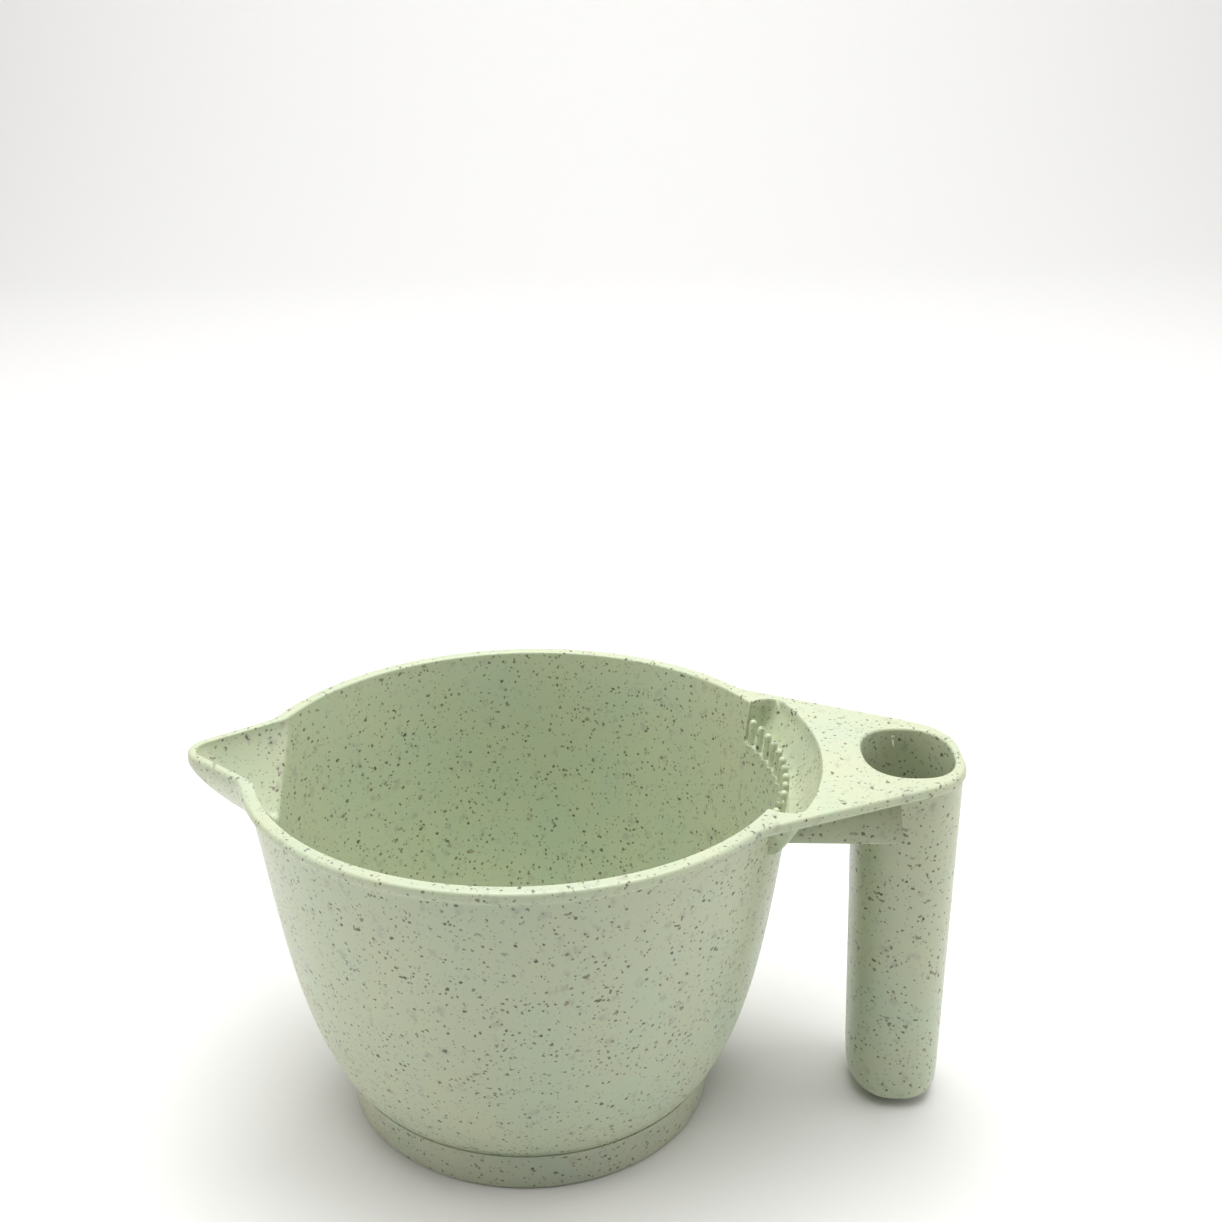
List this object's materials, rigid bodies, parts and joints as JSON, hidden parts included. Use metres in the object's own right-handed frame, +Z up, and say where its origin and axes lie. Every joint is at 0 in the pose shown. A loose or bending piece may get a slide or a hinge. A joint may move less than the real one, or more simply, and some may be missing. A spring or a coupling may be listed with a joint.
{
  "type": "hair color mixing bowl",
  "caption": "Deep round hair color bowl with a pouring spout, a brush-wiping comb over a drip tray, and a hollow upright grip that holds the brush.",
  "frame": {"origin": "on the resting plane, on the bowl's upright axis", "axes": "+Z up along the bowl's axis, +X from the bowl's axis toward the upright grip (the spout points to -X), +Y completes the right-handed frame"},
  "size_m": [0.1944, 0.14, 0.0948],
  "materials": {
    "speckled_plastic": "pale sage green moulded plastic with fine dark fibre specks, low sheen",
    "foot_plastic": "the same speckled sage green moulded plastic, a little deeper at the foot"
  },
  "bodies": {
    "root": {"bowl_shell": "speckled_plastic", "rim_lip_left": "speckled_plastic", "rim_lip_right": "speckled_plastic", "pour_spout": "speckled_plastic", "handle_deck": "speckled_plastic", "drip_tray": "speckled_plastic", "deck_web_left": "speckled_plastic", "deck_web_right": "speckled_plastic", "brush_tube": "speckled_plastic", "foot_ring": "foot_plastic", "comb_tooth_01": "speckled_plastic", "comb_tooth_02": "speckled_plastic", "comb_tooth_03": "speckled_plastic", "comb_tooth_04": "speckled_plastic", "comb_tooth_05": "speckled_plastic", "comb_tooth_06": "speckled_plastic", "comb_tooth_07": "speckled_plastic", "comb_tooth_08": "speckled_plastic", "comb_tooth_09": "speckled_plastic", "comb_tooth_10": "speckled_plastic", "comb_tooth_11": "speckled_plastic", "comb_tooth_12": "speckled_plastic", "comb_tooth_13": "speckled_plastic"}
  },
  "joints": []
}
